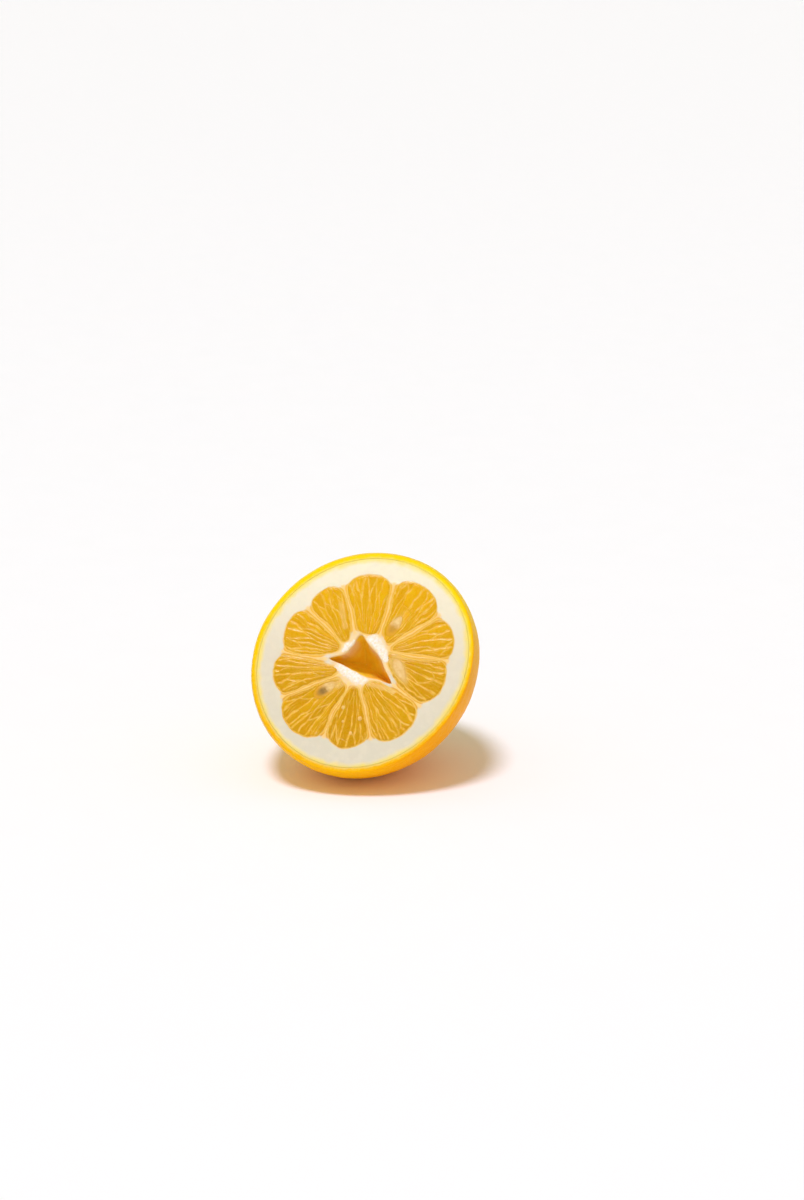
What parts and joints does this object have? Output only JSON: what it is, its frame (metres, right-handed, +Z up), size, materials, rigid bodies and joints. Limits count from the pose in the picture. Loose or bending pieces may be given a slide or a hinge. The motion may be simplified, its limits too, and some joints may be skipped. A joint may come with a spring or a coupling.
{
  "type": "lemon half",
  "caption": "Cut half of a lemon resting on its skin, with white pith, segments of juice cells, seeds and an open core on the cut face.",
  "frame": {"origin": "on the surface the half lies on, under the middle of its box", "axes": "+Z up; -Y to the front, where the cut face looks, tilted back; +X to the right as the face is seen"},
  "size_m": [0.062, 0.0648, 0.0616],
  "materials": {
    "skin": "waxy, finely pitted",
    "pith": "matt, spongy",
    "pulp": "wet, translucent",
    "seed": "satin"
  },
  "bodies": {
    "root": {"skin": "skin", "pith": "pith", "pulp_01": "pulp", "pulp_02": "pulp", "pulp_03": "pulp", "pulp_04": "pulp", "pulp_05": "pulp", "pulp_06": "pulp", "pulp_07": "pulp", "pulp_08": "pulp", "pulp_09": "pulp", "pulp_10": "pulp", "seed_1": "seed", "seed_2": "seed", "seed_3": "seed"}
  },
  "joints": []
}
